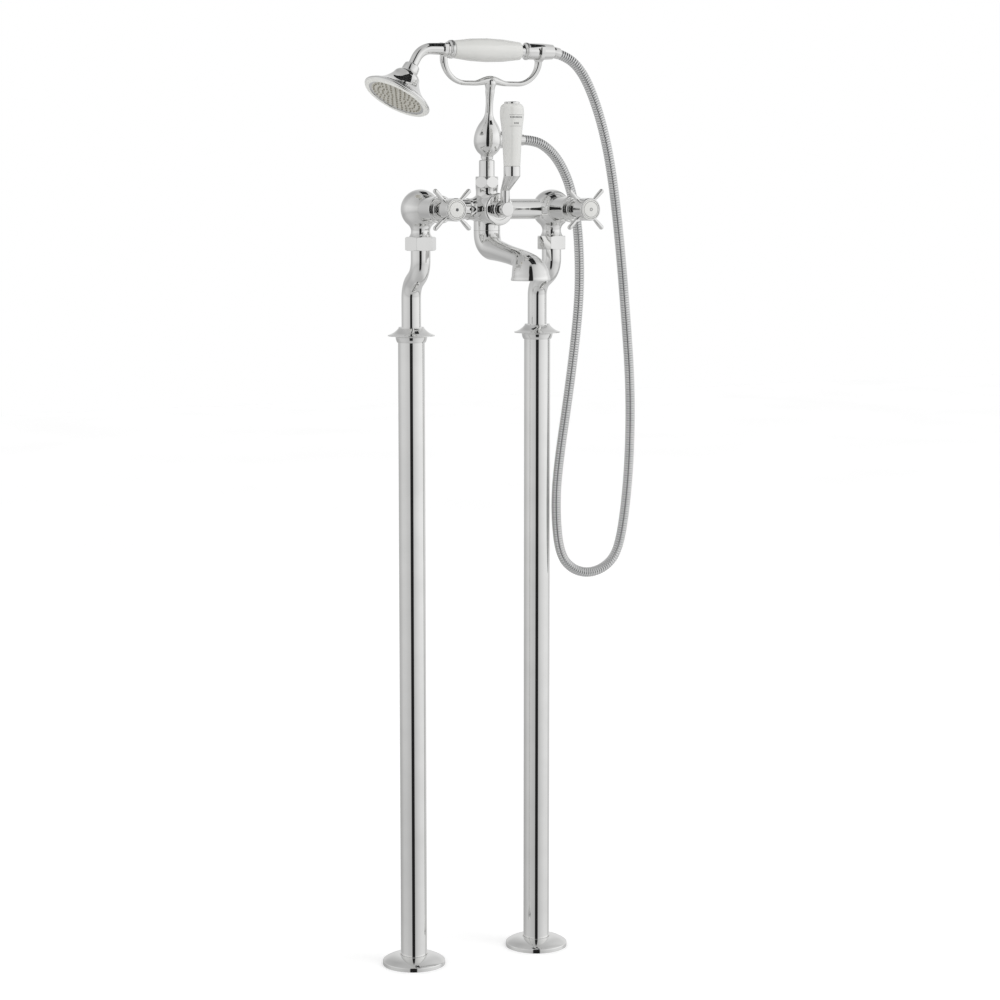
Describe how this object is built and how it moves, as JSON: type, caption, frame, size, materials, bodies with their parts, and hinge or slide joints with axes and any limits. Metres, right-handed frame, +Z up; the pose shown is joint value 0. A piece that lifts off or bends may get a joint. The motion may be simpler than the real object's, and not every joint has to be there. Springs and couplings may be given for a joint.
{
  "type": "floor standing bath filler",
  "caption": "Floor standing bath filler on two legs, with cross handles, a swan neck spout, a diverter lever and a handset resting in a cradle.",
  "frame": {"origin": "on the floor, midway between the axes of the two legs", "axes": "+X from the hot leg to the cold leg, -Y towards the spout, +Z up"},
  "size_m": [0.382, 0.2087, 1.1556],
  "materials": {
    "chrome_plate": "polished chrome plate on brass",
    "hose_steel": "polished wound stainless steel",
    "white_ceramic": "glazed white ceramic",
    "valve_ceramic": "lapped technical ceramic",
    "bare_brass": "turned, unplated",
    "satin_plate": "satin",
    "nozzle_rubber": "matt moulded",
    "washer_fibre": "pressed fibre"
  },
  "bodies": {
    "stand": {"centre_body": "chrome_plate", "cold_bonnet": "chrome_plate", "cold_bridge_tube": "chrome_plate", "cold_cartridge": "bare_brass", "cold_fixed_disc": "valve_ceramic", "cold_valve_body": "chrome_plate", "cradle": "chrome_plate", "diverter_bonnet": "chrome_plate", "diverter_sleeve": "bare_brass", "hose": "hose_steel", "hose_union": "chrome_plate", "hot_bonnet": "chrome_plate", "hot_bridge_tube": "chrome_plate", "hot_cartridge": "bare_brass", "hot_fixed_disc": "valve_ceramic", "hot_valve_body": "chrome_plate", "left_base_plate": "bare_brass", "left_floor_flange": "chrome_plate", "left_leg_collar": "chrome_plate", "left_leg_tube": "chrome_plate", "left_riser_pipe": "chrome_plate", "left_union_nut": "chrome_plate", "lower_hose_ferrule": "chrome_plate", "right_base_plate": "bare_brass", "right_floor_flange": "chrome_plate", "right_leg_collar": "chrome_plate", "right_leg_tube": "chrome_plate", "right_riser_pipe": "chrome_plate", "right_union_nut": "chrome_plate", "riser_nut": "chrome_plate", "riser_tube": "chrome_plate", "spout": "chrome_plate", "union_washers": "washer_fibre"},
    "hot_handle": {"hot_turning_disc": "valve_ceramic", "hot_spindle": "bare_brass", "hot_handle_hub": "chrome_plate", "hot_handle_spokes": "chrome_plate", "hot_index_disc": "white_ceramic", "hot_handle_screw": "chrome_plate"},
    "cold_handle": {"cold_turning_disc": "valve_ceramic", "cold_spindle": "bare_brass", "cold_handle_hub": "chrome_plate", "cold_handle_spokes": "chrome_plate", "cold_index_disc": "white_ceramic", "cold_handle_screw": "chrome_plate"},
    "lever": {"diverter_rotor": "bare_brass", "diverter_lever": "chrome_plate", "lever_grip": "white_ceramic", "lever_cap": "chrome_plate"},
    "handset": {"handset_neck_pipe": "chrome_plate", "handset_collar": "chrome_plate", "handset_grip": "white_ceramic", "handset_tail": "chrome_plate", "rose_nut": "chrome_plate", "rose_bell": "chrome_plate", "rose_plate": "satin_plate", "nozzle_mat": "nozzle_rubber", "upper_hose_ferrule": "chrome_plate"}
  },
  "joints": [
    {"name": "hot_quarter_turn", "type": "hinge", "parent": "stand", "child": "hot_handle", "pos_m": [-0.09, -0.1, 0.95], "axis": [0, -1, 0], "range_deg": [0, 90]},
    {"name": "cold_quarter_turn", "type": "hinge", "parent": "stand", "child": "cold_handle", "pos_m": [0.09, -0.1, 0.95], "axis": [0, -1, 0], "range_deg": [-90, 0]},
    {"name": "diverter_swing", "type": "hinge", "parent": "stand", "child": "lever", "pos_m": [0, -0.08, 0.95], "axis": [0, -1, 0], "range_deg": [-45, 45]},
    {"name": "handset_lift", "type": "slide", "parent": "stand", "child": "handset", "axis": [0, -0.1045, 0.9945], "range_m": [0, 0.06], "deforming": ["hose"]}
  ]
}
